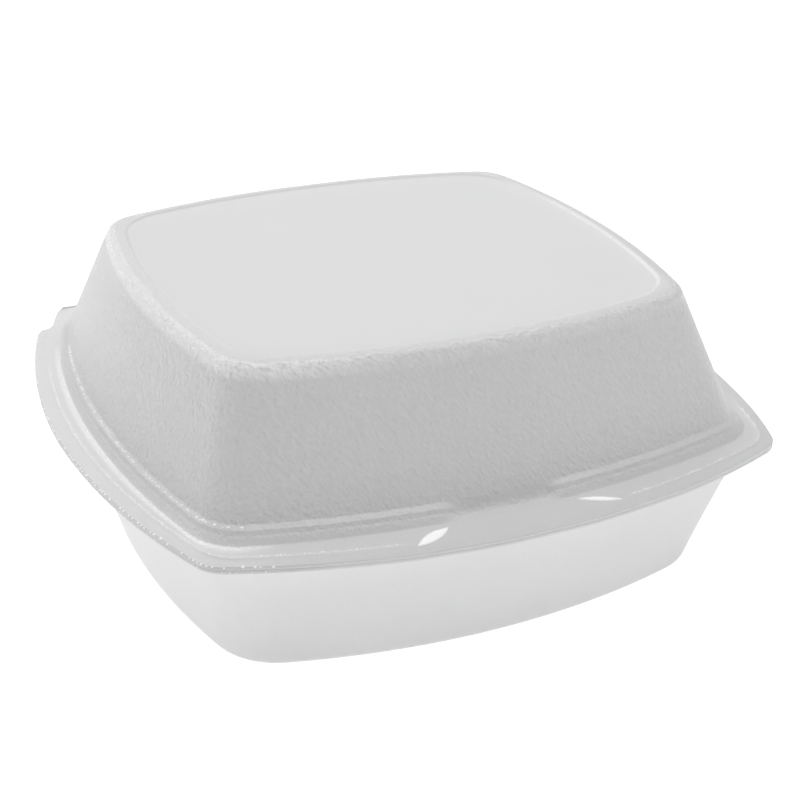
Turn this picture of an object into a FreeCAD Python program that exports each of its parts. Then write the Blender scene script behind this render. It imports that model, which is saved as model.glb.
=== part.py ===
"""Foam clamshell food container with a hinged lid, modelled closed, in millimetres.

The container is one sheet of thermoformed foam: a base tray and a lid, joined by a crease
across the back. The tray and the lid are separate solids that meet at the crease.

Frame: +Z up, the lock on the front at -Y, the hinge crease at the back at +Y. The origin is
on the underside of the tray, below the middle of the lid.
"""
import FreeCAD, Part
import math
import os

import Sketcher

DOC = FreeCAD.newDocument("foam_clamshell")
SHEET = DOC.addObject("Spreadsheet::Sheet", "sizes")

SIZES = {
    # Foam sheet
    "foam_wall": 2.4,
    "rim_thickness": 0.7,
    "parting_gap": 0.1,
    # Rim, shared by the tray and the lid because both are cut by one die
    "rim_width": 152.0,
    "rim_depth": 152.4,
    "rim_bow_radius": 165.0,
    "rim_corner_radius": 7.3,
    # Hinge crease at the back, measured forwards from where the rim would end
    "hinge_inset": 10.0,
    "hinge_notch_length": 12.4,
    "hinge_notch_depth": 3.0,
    "notch_rounding": 1.3,
    "hinge_relief": 0.05,
    # Tray: the ledges lie between the rim's edge and the mouth
    "tray_wall_height": 31.5,
    "tray_ledge_side": 5.3,
    "tray_ledge_front": 5.4,
    "tray_ledge_hinge": 0.6,
    "tray_mouth_corner_radius": 16.5,
    "tray_draft": 10.0,
    "tray_floor_corner_radius": 15.4,
    "tray_floor_rounding": 2.8,
    "tray_inner_rounding": 3.0,
    "tray_lip_rounding": 0.9,
    "tray_cove_radius": 1.2,
    # Lid: the ledges lie between the rim's edge and the foot of the wall
    "lid_wall_height": 29.7,
    "lid_ledge_side": 8.4,
    "lid_ledge_front": 10.6,
    "lid_ledge_hinge": 0.6,
    "lid_foot_bow_radius": 201.0,
    "lid_foot_corner_radius": 9.1,
    "lid_draft_side": 11.7,
    "lid_draft_front": 14.2,
    "lid_crown_bow_radius": 174.7,
    "lid_crown_corner_radius": 7.8,
    "lid_crown_rounding": 3.8,
    "lid_inner_rounding": 1.6,
    "lid_cove_radius": 3.0,
    "panel_inset": 2.9,
    "panel_corner_radius": 14.0,
    "panel_recess": 0.4,
    # Stepped collar round the foot of the lid
    "collar_height": 2.8,
    "collar_shelf": 1.1,
    "collar_foot": 2.1,
    "collar_roof": 1.8,
    "collar_hinge_gap": 26.2,
    "collar_lock_gap": 20.0,
    # Raised crease that runs along the lid's rim
    "crease_inset": 3.5,
    "crease_bow_radius": 176.0,
    "crease_corner_radius": 8.9,
    "crease_height": 0.3,
    "crease_foot": 0.55,
    "crease_top": 0.12,
    "crease_hinge_gap": 30.2,
    "rim_fall": 0.2,
    # Lock on the front rim, with its insets measured from the rim's edge
    "lock_offset": -2.4,
    "slot_inner_reach": 14.2,
    "slot_inner_inset": 8.0,
    "slot_outer_reach": 22.4,
    "slot_outer_inset": 4.3,
    "slot_left_bulge": 1.25,
    "slot_right_bulge": 0.75,
    "lug_clearance": 0.3,
    "lug_tip_gap": 1.2,
    "lug_rise": 0.15,
}

for row, (alias, value) in enumerate(SIZES.items(), start=1):
    SHEET.set(f"A{row}", alias)
    SHEET.set(f"B{row}", str(value))
    SHEET.setAlias(f"B{row}", alias)
DOC.recompute()


def worked_out(expression):
    """Return the number that an expression of the sheet's values gives now."""
    return float(SHEET.evalExpression(expression))


def cell(name):
    """Return the expression that names one value of the sheet."""
    return f"sizes.{name}"


# Heights that follow from the sheet, as expressions

TRAY_RIM_TOP = "(sizes.tray_wall_height + sizes.rim_thickness)"
LID_RIM_UNDER = f"({TRAY_RIM_TOP} + sizes.parting_gap)"
RIM_EDGE_TOP = f"({LID_RIM_UNDER} + sizes.rim_thickness)"
RIM_TOP = f"({RIM_EDGE_TOP} + sizes.rim_fall)"
CROWN = f"({RIM_TOP} + sizes.lid_wall_height)"
COLLAR_TOP = f"({RIM_TOP} + sizes.collar_height)"


class Outline:
    """A bowed rectangle: four long arcs for sides, joined by four tangent corner arcs.

    A shift moves its middle along Y.
    """

    def __init__(self, width, depth, bow, corner, shift="0"):
        self.width = width
        self.depth = depth
        self.bow = bow
        self.corner = corner
        self.shift = shift

    def grown(self, reach):
        """Return this outline moved outwards all round by a distance."""
        return Outline(f"({self.width} + 2 * ({reach}))", f"({self.depth} + 2 * ({reach}))",
                       f"({self.bow} + ({reach}))", f"({self.corner} + ({reach}))", self.shift)

    def towards(self, other, share):
        """Return the outline that lies part of the way from this one to another."""
        pairs = ((self.width, other.width), (self.depth, other.depth),
                 (self.bow, other.bow), (self.corner, other.corner))
        sizes = (f"({a} + (({b}) - ({a})) * ({share}))" for a, b in pairs)
        return Outline(*sizes, self.shift)


HALF_WIDTH = "(sizes.rim_width / 2)"
HALF_DEPTH = "(sizes.rim_depth / 2)"
HINGE_SETBACK = f"({HALF_DEPTH} - sizes.hinge_inset)"
NOTCH_SETBACK = f"({HINGE_SETBACK} - sizes.hinge_notch_length)"


def inside_rim(side, front, hinge, bow, corner):
    """Return the outline at given distances inside the rim's sides, its front and the hinge."""
    depth = f"({HALF_DEPTH} - {front} + {HINGE_SETBACK} - {hinge})"
    shift = f"(({HINGE_SETBACK} - {hinge} - {HALF_DEPTH} + {front}) / 2)"
    return Outline(f"(2 * ({HALF_WIDTH} - {side}))", depth, bow, corner, shift)


def drawn_in(outline, side, front, bow, corner):
    """Return the outline that stands inside another by the run of its drafted walls."""
    return Outline(f"({outline.width} - 2 * {side})", f"({outline.depth} - 2 * {front})",
                   bow, corner, outline.shift)


RIM = Outline(cell("rim_width"), cell("rim_depth"), cell("rim_bow_radius"),
              cell("rim_corner_radius"))
CREASE = Outline("(sizes.rim_width - 2 * sizes.crease_inset)",
                 "(sizes.rim_depth - 2 * sizes.crease_inset)",
                 cell("crease_bow_radius"), cell("crease_corner_radius"))
TRAY_MOUTH = inside_rim(cell("tray_ledge_side"), cell("tray_ledge_front"),
                        cell("tray_ledge_hinge"), cell("rim_bow_radius"),
                        cell("tray_mouth_corner_radius"))
TRAY_FLOOR = drawn_in(TRAY_MOUTH, cell("tray_draft"), cell("tray_draft"),
                      cell("rim_bow_radius"), cell("tray_floor_corner_radius"))
LID_FOOT = inside_rim(cell("lid_ledge_side"), cell("lid_ledge_front"), cell("lid_ledge_hinge"),
                      cell("lid_foot_bow_radius"), cell("lid_foot_corner_radius"))
LID_CROWN = drawn_in(LID_FOOT, cell("lid_draft_side"), cell("lid_draft_front"),
                     cell("lid_crown_bow_radius"), cell("lid_crown_corner_radius"))


def lid_wall_at(height):
    """Return the outline of the lid's outer wall at a height."""
    return LID_FOOT.towards(LID_CROWN, f"(({height}) - {RIM_TOP}) / sizes.lid_wall_height")


def tray_wall_at(height):
    """Return the outline of the tray's outer wall at a height."""
    return TRAY_FLOOR.towards(TRAY_MOUTH, f"({height}) / sizes.tray_wall_height")


def new_sketch(name, height):
    """Return an empty level sketch whose height is bound to an expression."""
    sketch = DOC.addObject("Sketcher::SketchObject", name)
    sketch.setExpression("Placement.Base.z", height)
    return sketch


def bind(sketch, index, name, expression):
    """Name a constraint of a sketch and bind it to an expression."""
    sketch.renameConstraint(index, name)
    sketch.setExpression(f"Constraints.{name}", expression)


def corner_centre(half_width, half_depth, bow, corner):
    """Return the centre of the corner arc that touches the right and the back arc."""
    right = FreeCAD.Vector(half_width - bow, 0, 0)
    back = FreeCAD.Vector(0, half_depth - bow, 0)
    middle = (right + back) * 0.5
    across = back - right
    rise = math.sqrt((bow - corner) ** 2 - (across.Length / 2) ** 2)
    outward = FreeCAD.Vector(-across.y, across.x, 0).normalize()
    return middle + outward * rise


def bowed_sketch(name, outline, height):
    """Draw a bowed rectangle as eight tangent arcs, bound to its four sizes."""
    sketch = new_sketch(name, height)
    sketch.setExpression("Placement.Base.y", outline.shift)
    half_width = worked_out(outline.width) / 2
    half_depth = worked_out(outline.depth) / 2
    bow = worked_out(outline.bow)
    corner = worked_out(outline.corner)
    centre = corner_centre(half_width, half_depth, bow, corner)
    low = math.atan2(centre.y, centre.x - (half_width - bow))
    high = math.atan2(centre.y - (half_depth - bow), centre.x)
    half_turn = math.pi
    arcs = [
        ((half_width - bow, 0), bow, -low, low),
        ((centre.x, centre.y), corner, low, high),
        ((0, half_depth - bow), bow, high, half_turn - high),
        ((-centre.x, centre.y), corner, half_turn - high, half_turn - low),
        ((bow - half_width, 0), bow, half_turn - low, half_turn + low),
        ((-centre.x, -centre.y), corner, half_turn + low, half_turn + high),
        ((0, bow - half_depth), bow, half_turn + high, 2 * half_turn - high),
        ((centre.x, -centre.y), corner, 2 * half_turn - high, 2 * half_turn - low),
    ]
    for (x, y), radius, start, end in arcs:
        circle = Part.Circle(FreeCAD.Vector(x, y, 0), FreeCAD.Vector(0, 0, 1), radius)
        sketch.addGeometry(Part.ArcOfCircle(circle, start, end), False)
    count = len(arcs)
    for index in range(count):
        sketch.addConstraint(Sketcher.Constraint("Tangent", index, 2, (index + 1) % count, 1))
    for first, second in ((0, 2), (0, 4), (0, 6), (1, 3), (1, 5), (1, 7)):
        sketch.addConstraint(Sketcher.Constraint("Equal", first, second))
    for index, axis in ((0, -1), (4, -1), (2, -2), (6, -2)):
        sketch.addConstraint(Sketcher.Constraint("PointOnObject", index, 3, axis))
    across = f"{outline.bow} - {outline.width} / 2"
    along = f"{outline.bow} - {outline.depth} / 2"
    sized = [
        ("bow", Sketcher.Constraint("Radius", 0, bow), outline.bow),
        ("corner", Sketcher.Constraint("Radius", 1, corner), outline.corner),
        ("right", Sketcher.Constraint("DistanceX", 0, 3, -1, 1, bow - half_width), across),
        ("left", Sketcher.Constraint("DistanceX", -1, 1, 4, 3, bow - half_width), across),
        ("back", Sketcher.Constraint("DistanceY", 2, 3, -1, 1, bow - half_depth), along),
        ("front", Sketcher.Constraint("DistanceY", -1, 1, 6, 3, bow - half_depth), along),
    ]
    for label, constraint, expression in sized:
        bind(sketch, sketch.addConstraint(constraint), label, expression)
    return sketch


def loft(name, *levels):
    """Return the ruled solid through bowed outlines, each given with its height."""
    sketches = [bowed_sketch(f"{name}_level_{number}", outline, height)
                for number, (outline, height) in enumerate(levels, start=1)]
    solid = DOC.addObject("Part::Loft", name)
    solid.Sections = sketches
    solid.Solid = True
    solid.Ruled = True
    return solid


def extrude(name, sketch, length):
    """Return the solid that stands on a sketch, with its length bound."""
    solid = DOC.addObject("Part::Extrusion", name)
    solid.Base = sketch
    solid.DirMode = "Custom"
    solid.Dir = FreeCAD.Vector(0, 0, 1)
    solid.Solid = True
    solid.setExpression("LengthFwd", length)
    return solid


def block(name, low, high):
    """Return a box between two corners, given as expressions."""
    box = DOC.addObject("Part::Box", name)
    for side, axis, start, end in zip(("Length", "Width", "Height"), "xyz", low, high):
        box.setExpression(f"Placement.Base.{axis}", start)
        box.setExpression(side, f"({end}) - ({start})")
    return box


def joined(name, *pieces):
    """Return the union of solids."""
    union = DOC.addObject("Part::MultiFuse", name)
    union.Shapes = list(pieces)
    union.Refine = True
    return union


def overlap(name, first, second):
    """Return what two solids share."""
    shared = DOC.addObject("Part::Common", name)
    shared.Base = first
    shared.Tool = second
    return shared


def cut(name, base, tool):
    """Return a solid less another."""
    rest = DOC.addObject("Part::Cut", name)
    rest.Base = base
    rest.Tool = tool
    return rest


def rounded(name, base, radius, wanted):
    """Round the edges of a solid for which wanted(edge) is true."""
    DOC.recompute()
    size = worked_out(radius)
    fillet = DOC.addObject("Part::Fillet", name)
    fillet.Base = base
    fillet.Edges = [(number, size, size)
                    for number, edge in enumerate(base.Shape.Edges, start=1) if wanted(edge)]
    return fillet


NEAR = 1e-3


def level_at(height):
    """Return a test for edges that lie level at a height."""
    z = worked_out(height)
    return lambda edge: edge.BoundBox.ZLength < NEAR and abs(edge.BoundBox.ZMin - z) < NEAR


def upright_at(places):
    """Return a test for upright edges that stand at one of some plan positions."""
    def test(edge):
        box = edge.BoundBox
        upright = box.XLength < NEAR and box.YLength < NEAR
        return upright and any(math.hypot(box.XMin - x, box.YMin - y) < 0.5 for x, y in places)
    return test


def within(outline, height):
    """Return a test for edges that lie level at a height and inside an outline's four bows."""
    level = level_at(height)
    bow = worked_out(outline.bow)
    across = bow - worked_out(outline.width) / 2
    along = bow - worked_out(outline.depth) / 2
    middle = FreeCAD.Vector(0, worked_out(outline.shift), worked_out(height))
    centres = [middle + FreeCAD.Vector(x, y, 0)
               for x, y in ((across, 0), (-across, 0), (0, along), (0, -along))]

    def test(edge):
        ends = (edge.valueAt(edge.FirstParameter), edge.valueAt(edge.LastParameter))
        return level(edge) and all((end - centre).Length < bow for end in ends for centre in centres)
    return test


def above(expression, distance):
    """Return an expression for a height a distance above another."""
    return f"({expression} + ({distance}))"


# How far a cutter or a joined piece runs past the face that it works on
OVERRUN = "1"
SINK = "0.3"


def side_reach(outline, setback):
    """Return how far a bowed outline's side stands from the middle, at a distance back."""
    bow = worked_out(outline.bow)
    return math.sqrt(bow ** 2 - setback ** 2) - bow + worked_out(outline.width) / 2


def cutting_die():
    """Return the upright prism of the sheet's cut line: the rim's outline, notched at the back.

    The rim narrows near both back corners to the hinge strip, and the strip ends at the crease.
    """
    low = f"(0 - {OVERRUN})"
    high = above(CROWN, OVERRUN)
    height = f"({high} - {low})"
    strip = Outline("(sizes.rim_width - 2 * sizes.hinge_notch_depth)", "(sizes.rim_depth * 1.5)",
                    "(sizes.rim_bow_radius - sizes.hinge_notch_depth)", cell("rim_corner_radius"))
    blank = extrude("die_blank", bowed_sketch("die_outline", RIM, low), height)
    kept = extrude("die_strip", bowed_sketch("strip_outline", strip, low), height)
    behind_notch = block("behind_notch", ("0 - sizes.rim_width", NOTCH_SETBACK, low),
                         ("sizes.rim_width", cell("rim_depth"), high))
    past_crease = block("past_crease",
                        ("0 - sizes.rim_width", f"{HINGE_SETBACK} - sizes.hinge_relief", low),
                        ("sizes.rim_width", cell("rim_depth"), high))
    waste = joined("die_waste", past_crease, cut("die_notches", behind_notch, kept))
    sharp = cut("die_sharp", blank, waste)
    notch = worked_out(NOTCH_SETBACK)
    corners = [(side * side_reach(outline, notch), notch)
               for side in (-1, 1) for outline in (RIM, strip)]
    return rounded("cutting_die", sharp, cell("notch_rounding"), upright_at(corners))


def lens_sketch(name, side, bulge, tip_gap, height):
    """Draw one lens of the lock: two arcs between an outer and an inner tip.

    The side is -1 for the left lens and 1 for the right one. A tip gap shortens the lens.
    """
    slope = ("((sizes.slot_inner_inset - sizes.slot_outer_inset)"
             " / (sizes.slot_outer_reach - sizes.slot_inner_reach))")
    outer = (f"(sizes.lock_offset + {side} * (sizes.slot_outer_reach - {tip_gap}))",
             f"(sizes.slot_outer_inset - {HALF_DEPTH} + {tip_gap} * {slope})")
    inner = (f"(sizes.lock_offset + {side} * (sizes.slot_inner_reach + {tip_gap}))",
             f"(sizes.slot_inner_inset - {HALF_DEPTH} - {tip_gap} * {slope})")
    chord = f"sqrt(({outer[0]} - {inner[0]}) ^ 2 + ({outer[1]} - {inner[1]}) ^ 2)"
    radius = f"(({chord}) ^ 2 / 4 + ({bulge}) ^ 2) / (2 * ({bulge}))"
    sketch = new_sketch(name, height)
    start, end = (FreeCAD.Vector(*(worked_out(part) for part in tip)) for tip in (outer, inner))
    along = end - start
    left = FreeCAD.Vector(-along.y, along.x, 0).normalize() * worked_out(bulge)
    middle = (start + end) * 0.5
    sketch.addGeometry(Part.Arc(start, middle - left, end), False)
    sketch.addGeometry(Part.Arc(end, middle + left, start), False)
    first, second = (
        sorted((1, 2), key=lambda place: (sketch.getPoint(geometry, place) - start).Length)
        for geometry in (0, 1))
    for one, other in zip(first, second):
        sketch.addConstraint(Sketcher.Constraint("Coincident", 0, one, 1, other))
    sketch.addConstraint(Sketcher.Constraint("Equal", 0, 1))
    sized = [("radius", Sketcher.Constraint("Radius", 0, worked_out(radius)), radius)]
    for label, place, tip in (("outer", first[0], outer), ("inner", first[1], inner)):
        for axis, part in zip("XY", tip):
            constraint = Sketcher.Constraint(f"Distance{axis}", -1, 1, 0, place, worked_out(part))
            sized.append((f"{label}_{axis.lower()}", constraint, part))
    for label, constraint, expression in sized:
        bind(sketch, sketch.addConstraint(constraint), label, expression)
    return sketch


def lock_lenses(name, shrink, tip_gap, low, high):
    """Return the two lenses of the lock as upright prisms, shrunk by a clearance."""
    prisms = []
    for label, side in (("left", -1), ("right", 1)):
        bulge = f"(sizes.slot_{label}_bulge - {shrink})"
        sketch = lens_sketch(f"{name}_{label}_outline", side, bulge, tip_gap, low)
        prisms.append(extrude(f"{name}_{label}", sketch, f"{high} - {low}"))
    return prisms


def base_tray(die):
    """Build the tray: floor, drafted walls, rounded floor edge, rim and lock lugs."""
    walls = loft("tray_walls", (TRAY_FLOOR, "0"), (TRAY_MOUTH, cell("tray_wall_height")))
    rim = extrude("tray_rim", bowed_sketch("tray_rim_outline", RIM.grown(OVERRUN),
                                           cell("tray_wall_height")), cell("rim_thickness"))
    blank = joined("tray_blank", walls, rim)
    coved = rounded("tray_coved", blank, cell("tray_cove_radius"),
                    within(TRAY_MOUTH.grown(SINK), cell("tray_wall_height")))
    outside = rounded("tray_outside", coved, cell("tray_floor_rounding"), level_at("0"))
    floor_top = cell("foam_wall")
    open_top = above(TRAY_RIM_TOP, OVERRUN)
    inner_floor = tray_wall_at(floor_top).grown("0 - sizes.foam_wall")
    inner_mouth = tray_wall_at(open_top).grown("0 - sizes.foam_wall")
    hollow = loft("tray_hollow", (inner_floor, floor_top), (inner_mouth, open_top))
    soft_hollow = rounded("tray_soft_hollow", hollow, cell("tray_inner_rounding"),
                          level_at(floor_top))
    shell = cut("tray_shell", outside, soft_hollow)
    lipped = rounded("tray_lipped", shell, cell("tray_lip_rounding"),
                     within(TRAY_MOUTH, TRAY_RIM_TOP))
    trimmed = overlap("tray_trimmed", lipped, die)
    lugs = lock_lenses("lock_lug", cell("lug_clearance"), cell("lug_tip_gap"),
                       above(TRAY_RIM_TOP, f"0 - {SINK}"), above(RIM_TOP, cell("lug_rise")))
    return joined("tray", trimmed, *lugs)


def collar_keep(name, margin):
    """Return the blocks that take the collar away at the lock tab and at the back.

    A margin widens both, so that the collar's inside stops short of its ends.
    """
    low = above(LID_RIM_UNDER, f"0 - 2 * {OVERRUN}")
    half_gap = "sizes.collar_lock_gap / 2"
    at_lock = block(f"{name}_at_lock",
                    (f"sizes.lock_offset - {half_gap} - {margin}", "0 - sizes.rim_depth", low),
                    (f"sizes.lock_offset + {half_gap} + {margin}", "0", CROWN))
    at_back = block(f"{name}_at_back",
                    ("0 - sizes.rim_width",
                     f"{HINGE_SETBACK} - sizes.collar_hinge_gap - {margin}", low),
                    ("sizes.rim_width", "sizes.rim_depth", CROWN))
    return joined(name, at_lock, at_back)


def rim_crease():
    """Return the raised crease that runs along the rim and stops at the lock and the hinge."""
    low = above(RIM_TOP, f"0 - {SINK}")
    high = above(RIM_TOP, cell("crease_height"))
    ring = cut("crease_ring",
               loft("crease_outside", (CREASE.grown(cell("crease_foot")), low),
                    (CREASE.grown(cell("crease_top")), high)),
               loft("crease_inside", (CREASE.grown("0 - sizes.crease_foot"), low),
                    (CREASE.grown("0 - sizes.crease_top"), high)))
    at_lock = block("crease_at_lock",
                    ("sizes.lock_offset - sizes.slot_outer_reach", "0 - sizes.rim_depth", low),
                    ("sizes.lock_offset + sizes.slot_outer_reach", "0", CROWN))
    at_back = block("crease_at_back",
                    ("0 - sizes.rim_width", f"{HINGE_SETBACK} - sizes.crease_hinge_gap", low),
                    ("sizes.rim_width", "sizes.rim_depth", CROWN))
    return cut("crease", ring, joined("crease_breaks", at_lock, at_back))


def hinged_lid(die):
    """Build the lid: rim, drafted walls, stepped collar, recessed panel and lock slots."""
    walls = loft("lid_walls", (LID_FOOT, RIM_TOP), (LID_CROWN, CROWN))
    crowned = rounded("lid_crowned", walls, cell("lid_crown_rounding"), level_at(CROWN))
    plate = extrude("lid_rim_plate", bowed_sketch("lid_rim_outline", RIM.grown(OVERRUN),
                                                  LID_RIM_UNDER), cell("rim_thickness"))
    band = loft("lid_rim_band", (RIM, RIM_EDGE_TOP), (CREASE, RIM_TOP))
    blank = joined("lid_blank", crowned, plate, band)
    coved = rounded("lid_coved", blank, cell("lid_cove_radius"),
                    within(LID_FOOT.grown(SINK), RIM_TOP))

    sunk = above(RIM_TOP, f"0 - {SINK}")
    collar_ring = loft("collar_ring", (LID_FOOT.grown(cell("collar_foot")), sunk),
                       (lid_wall_at(COLLAR_TOP).grown(cell("collar_shelf")), COLLAR_TOP))
    collar = cut("collar", collar_ring, collar_keep("collar_breaks", "0"))
    outside = joined("lid_outside", coved, collar, rim_crease())

    under = above(LID_RIM_UNDER, f"0 - {OVERRUN}")
    ceiling = above(CROWN, "0 - sizes.foam_wall")
    inner_foot = lid_wall_at(under).grown("0 - sizes.foam_wall")
    inner_crown = lid_wall_at(ceiling).grown("0 - sizes.foam_wall")
    hollow = loft("lid_hollow", (inner_foot, under), (inner_crown, ceiling))
    soft_hollow = rounded("lid_soft_hollow", hollow, cell("lid_inner_rounding"),
                          level_at(ceiling))
    step_top = above(COLLAR_TOP, "0 - sizes.collar_roof")
    step_ring = loft("step_ring",
                     (LID_FOOT.grown("sizes.collar_foot - sizes.foam_wall"), under),
                     (lid_wall_at(step_top).grown("sizes.collar_foot - sizes.foam_wall"), step_top))
    step = cut("step", step_ring, collar_keep("step_breaks", cell("foam_wall")))
    inside = joined("lid_inside", soft_hollow, step)
    shell = cut("lid_shell", outside, inside)

    panel = drawn_in(LID_CROWN, cell("panel_inset"), cell("panel_inset"),
                     "(sizes.lid_crown_bow_radius - sizes.panel_inset)",
                     cell("panel_corner_radius"))
    recess = extrude("panel_recess", bowed_sketch("panel_outline", panel,
                                                  above(CROWN, "0 - sizes.panel_recess")), OVERRUN)
    slots = lock_lenses("lock_slot", "0", "0", under, above(RIM_TOP, OVERRUN))
    opened = cut("lid_opened", shell, joined("lid_cutouts", recess, *slots))
    return overlap("lid", opened, die)


def hand_over(subpart, label):
    """Name a finished sub-part and return it with its file name."""
    subpart.Label = label
    return subpart, f"parts/{label}.step"


def main():
    """Build the tray and the lid, check them and write their files."""
    die = cutting_die()
    finished = [hand_over(base_tray(die), "base_tray"), hand_over(hinged_lid(die), "hinged_lid")]
    DOC.recompute()
    for item in DOC.Objects:
        if {"Invalid", "Error"} & set(item.State):
            raise RuntimeError(f"{item.Label} could not be built")
    for subpart, path in finished:
        shape = subpart.Shape
        if shape.isNull() or not shape.isValid() or len(shape.Solids) != 1:
            raise RuntimeError(f"{subpart.Label} is not one valid solid")
    os.makedirs("parts", exist_ok=True)
    for subpart, path in finished:
        subpart.Shape.exportStep(path)
        print(subpart.Label, f"{subpart.Shape.Volume / 1000:.1f} cm3")


main()
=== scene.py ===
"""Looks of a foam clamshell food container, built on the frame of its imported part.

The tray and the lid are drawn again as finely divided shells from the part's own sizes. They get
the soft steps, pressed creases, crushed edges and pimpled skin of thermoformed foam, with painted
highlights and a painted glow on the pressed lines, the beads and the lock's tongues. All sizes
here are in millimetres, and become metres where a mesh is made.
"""
import logging
import math
from dataclasses import dataclass, field
from enum import Enum
from typing import Callable, Sequence

import bpy
import numpy as np
from mathutils import Matrix, Vector

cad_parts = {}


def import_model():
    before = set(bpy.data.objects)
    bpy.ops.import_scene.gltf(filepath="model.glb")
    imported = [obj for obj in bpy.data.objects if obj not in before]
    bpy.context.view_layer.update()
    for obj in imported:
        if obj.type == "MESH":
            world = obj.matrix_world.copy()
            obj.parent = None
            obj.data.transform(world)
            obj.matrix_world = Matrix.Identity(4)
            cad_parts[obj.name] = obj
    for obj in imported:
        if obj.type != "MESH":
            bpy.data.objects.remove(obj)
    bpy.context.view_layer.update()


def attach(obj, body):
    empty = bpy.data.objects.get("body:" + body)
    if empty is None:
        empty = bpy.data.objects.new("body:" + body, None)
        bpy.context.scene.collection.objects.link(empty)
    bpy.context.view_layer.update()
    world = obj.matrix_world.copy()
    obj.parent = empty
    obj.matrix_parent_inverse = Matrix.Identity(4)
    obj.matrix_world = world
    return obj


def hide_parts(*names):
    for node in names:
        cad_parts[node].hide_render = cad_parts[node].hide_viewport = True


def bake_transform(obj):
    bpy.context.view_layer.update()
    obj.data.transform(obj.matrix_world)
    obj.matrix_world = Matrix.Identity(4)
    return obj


LOG = logging.getLogger("clamshell")
METRES = 0.001
SHELL_CREASE = 38.0
SMALL_CREASE = 50.0


class Body(Enum):
    """The two moving bodies of the container."""

    TRAY = "tray"
    LID = "lid"


class Slot(Enum):
    """The material slots of the part's record."""

    TRAY_FOAM = "tray_foam"
    LID_FOAM = "lid_foam"


@dataclass(frozen=True)
class BowedOutline:
    """A bowed rectangle seen from above: four long arcs joined by four tangent corner arcs."""

    width: float
    depth: float
    bow: float
    corner: float
    shift: float = 0.0

    def grown(self, margin: float) -> "BowedOutline":
        """Return the outline that runs a margin outside this one.

        Args:
            margin: How far outside, or inside where it is below 0.
        """
        return BowedOutline(self.width + 2 * margin, self.depth + 2 * margin,
                            self.bow + margin, self.corner + margin, self.shift)

    def towards(self, other: "BowedOutline", share: float) -> "BowedOutline":
        """Return the outline a share of the way to another.

        Args:
            other: The outline that a share of 1 gives.
            share: How far towards it.
        """
        mine = (self.width, self.depth, self.bow, self.corner, self.shift)
        others = (other.width, other.depth, other.bow, other.corner, other.shift)
        return BowedOutline(*(a + (b - a) * share for a, b in zip(mine, others)))

    def arcs(self) -> list[tuple[float, float, float, float, float]]:
        """Work out the eight arcs, anticlockwise from the right side.

        Returns:
            Centre x and y, radius, and first and last angle of each arc.
        """
        across = self.width / 2 - self.bow
        along = self.depth / 2 - self.bow
        reach = self.bow - self.corner
        chord = math.hypot(across, along)
        rise = math.sqrt(reach ** 2 - (chord / 2) ** 2)
        corner_x = across / 2 - along / chord * rise
        corner_y = along / 2 - across / chord * rise
        low = math.atan2(corner_y, corner_x - across)
        half = math.pi / 2 - math.atan2(corner_y - along, corner_x)
        right, back, left, front = 0.0, math.pi / 2, math.pi, 1.5 * math.pi
        centre = self.shift
        return [
            (across, centre, self.bow, right - low, right + low),
            (corner_x, centre + corner_y, self.corner, right + low, back - half),
            (0.0, centre + along, self.bow, back - half, back + half),
            (-corner_x, centre + corner_y, self.corner, back + half, left - low),
            (-across, centre, self.bow, left - low, left + low),
            (-corner_x, centre - corner_y, self.corner, left + low, front - half),
            (0.0, centre - along, self.bow, front - half, front + half),
            (corner_x, centre - corner_y, self.corner, front + half, 2 * math.pi - low),
        ]


@dataclass(frozen=True)
class RingGrid:
    """Where the points of every ring stand, so that rings match point for point."""

    side_steps: int = 84
    corner_steps: int = 24
    step_place: float = 0.5562
    step_spread: float = 0.004

    def shares(self, arc: int) -> np.ndarray:
        """Return where the points stand along one of the eight arcs, from 0 to below 1.

        Args:
            arc: The arc's place in the outline. The front gets more points at the collar's step.
        """
        count = self.corner_steps if arc % 2 else self.side_steps
        places = np.arange(count) / count
        if arc == 6:
            near = self.step_place + np.linspace(-1, 1, 9) * self.step_spread
            clear = np.abs(places - self.step_place) > 1.6 * self.step_spread
            places = np.sort(np.concatenate([places[clear], near]))
        return places

    def ring(self, outline: BowedOutline, height: float) -> np.ndarray:
        """Return one ring of points, as rows of x, y and z.

        Args:
            outline: What the ring follows.
            height: How high it stands.
        """
        return self.walked(outline, height)[0]

    def walked(self, outline: BowedOutline, height: float) -> tuple[np.ndarray, np.ndarray]:
        """Return one ring of points and the level directions that point outwards there.

        Args:
            outline: What the ring follows.
            height: How high it stands.
        """
        points, outward = [], []
        for index, (x, y, radius, first, last) in enumerate(outline.arcs()):
            angle = first + (last - first) * self.shares(index)
            way = np.stack([np.cos(angle), np.sin(angle), np.zeros_like(angle)], axis=1)
            outward.append(way)
            points.append(way * radius + np.array([x, y, height]))
        return np.concatenate(points), np.concatenate(outward)


@dataclass
class Corner:
    """One corner of a section that is swept round the container."""

    points: np.ndarray
    radius: float = 0.0
    arc_steps: int = 0
    run_steps: int = 1


def unit(rows: np.ndarray) -> np.ndarray:
    """Return vectors at length one.

    Args:
        rows: Rows of x, y and z. A row of zeros stays as it is.
    """
    return rows / np.maximum(np.linalg.norm(rows, axis=1, keepdims=True), 1e-9)


def soft_step(value: np.ndarray, start: float, end: float) -> np.ndarray:
    """Return a smooth rise from 0 at the start to 1 at the end.

    Args:
        value: What is compared with the start and the end.
        start: Where the rise begins. It may lie past the end.
        end: Where it is complete.
    """
    share = np.clip((value - start) / (end - start), 0, 1)
    return share * share * (3 - 2 * share)


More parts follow.
